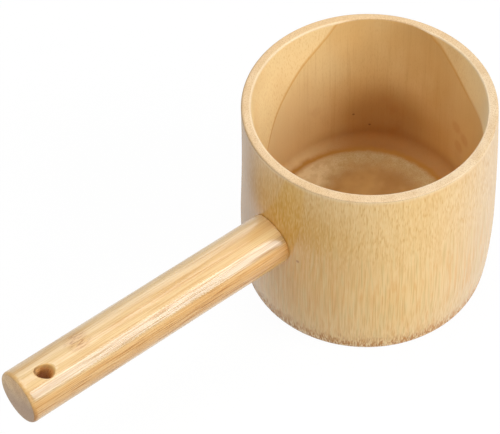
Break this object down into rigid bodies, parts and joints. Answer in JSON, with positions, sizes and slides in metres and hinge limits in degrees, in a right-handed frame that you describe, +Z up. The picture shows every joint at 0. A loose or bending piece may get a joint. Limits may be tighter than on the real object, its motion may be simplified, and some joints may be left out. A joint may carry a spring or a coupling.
{
  "type": "water dipper",
  "caption": "Bamboo water dipper: a round cup cut from a stem, its natural node as the floor, and a level rod handle with a hang hole, tenoned through the wall.",
  "frame": {"origin": "centre of the cup's base, on the surface that it stands on", "axes": "+Z up out of the cup's mouth, +X along the handle towards its free end"},
  "size_m": [0.204, 0.093, 0.0825],
  "materials": {
    "cup_bamboo": "peeled bamboo with short fibre flecks, sanded, thin clear coat, browner natural wall inside",
    "handle_bamboo": "turned bamboo rod with long grain, glossy clear coat",
    "wedge_bamboo": "split bamboo, end cut flush"
  },
  "bodies": {
    "root": {"cup": "cup_bamboo", "handle": "handle_bamboo", "tenon_wedge": "wedge_bamboo"}
  },
  "joints": []
}
